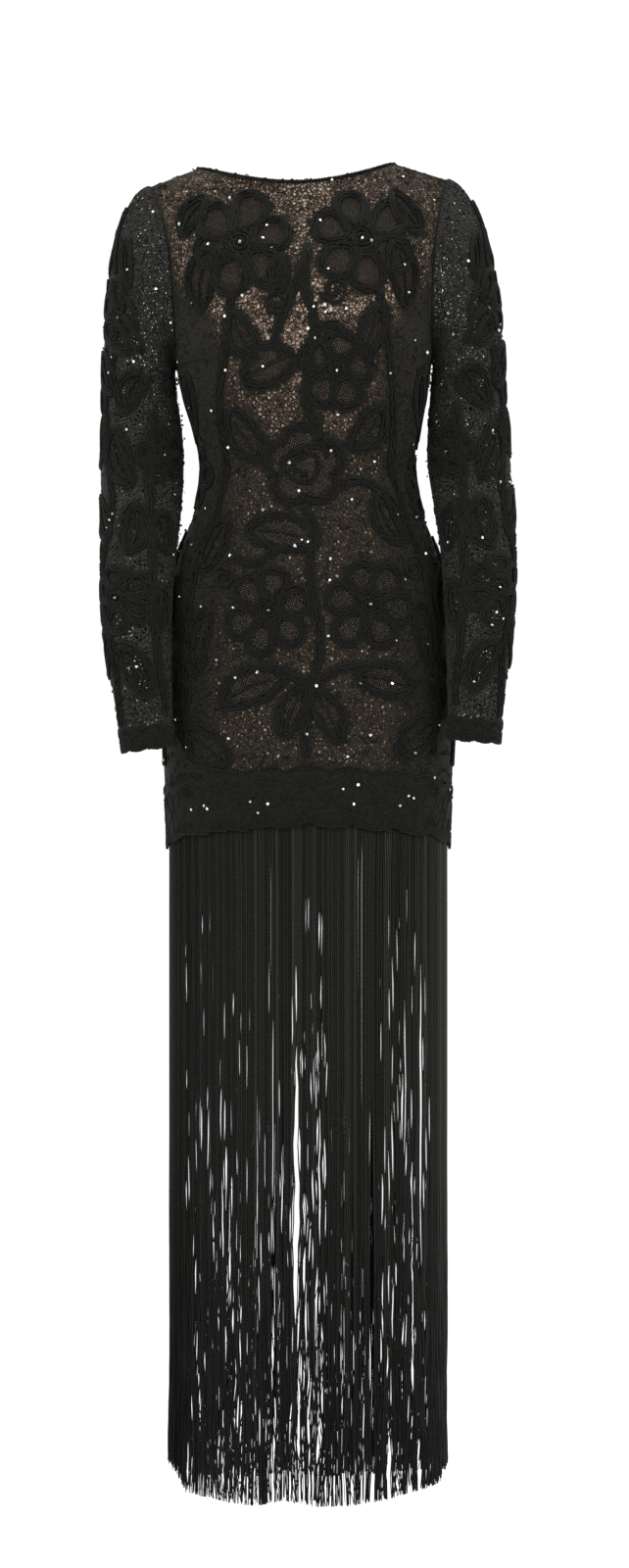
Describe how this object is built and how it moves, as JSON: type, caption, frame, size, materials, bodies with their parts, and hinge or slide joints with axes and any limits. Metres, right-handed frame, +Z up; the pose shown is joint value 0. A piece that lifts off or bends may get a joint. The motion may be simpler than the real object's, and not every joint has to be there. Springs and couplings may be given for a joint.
{
  "type": "fringe gown",
  "caption": "Long-sleeved fitted gown of black corded lace over a tan lining, with a scalloped hip hem and a floor-length thread fringe, in its worn, hollow form.",
  "frame": {"origin": "midway between the two points where the neckline meets the shoulder seams, which is where the wearer's shoulders carry the gown", "axes": "+Z up, the gown's front faces -Y, and the wearer's left is at +X"},
  "size_m": [0.4454, 0.2419, 1.4433],
  "materials": {
    "lace": "matt corded lace",
    "border": "dense couched cord",
    "lining": "soft satin jersey",
    "fringe": "twisted thread with a faint sheen"
  },
  "bodies": {
    "root": {"front_lace": "lace", "back_lace_left": "lace", "back_lace_right": "lace", "sleeve_left": "lace", "sleeve_right": "lace", "front_lining": "lining", "back_lining_left": "lining", "back_lining_right": "lining", "neck_binding": "border", "cuff_band_left": "border", "cuff_band_right": "border", "hem_band_front": "border", "hem_band_back": "border", "fringe_front": "fringe", "fringe_back": "fringe"}
  },
  "joints": []
}
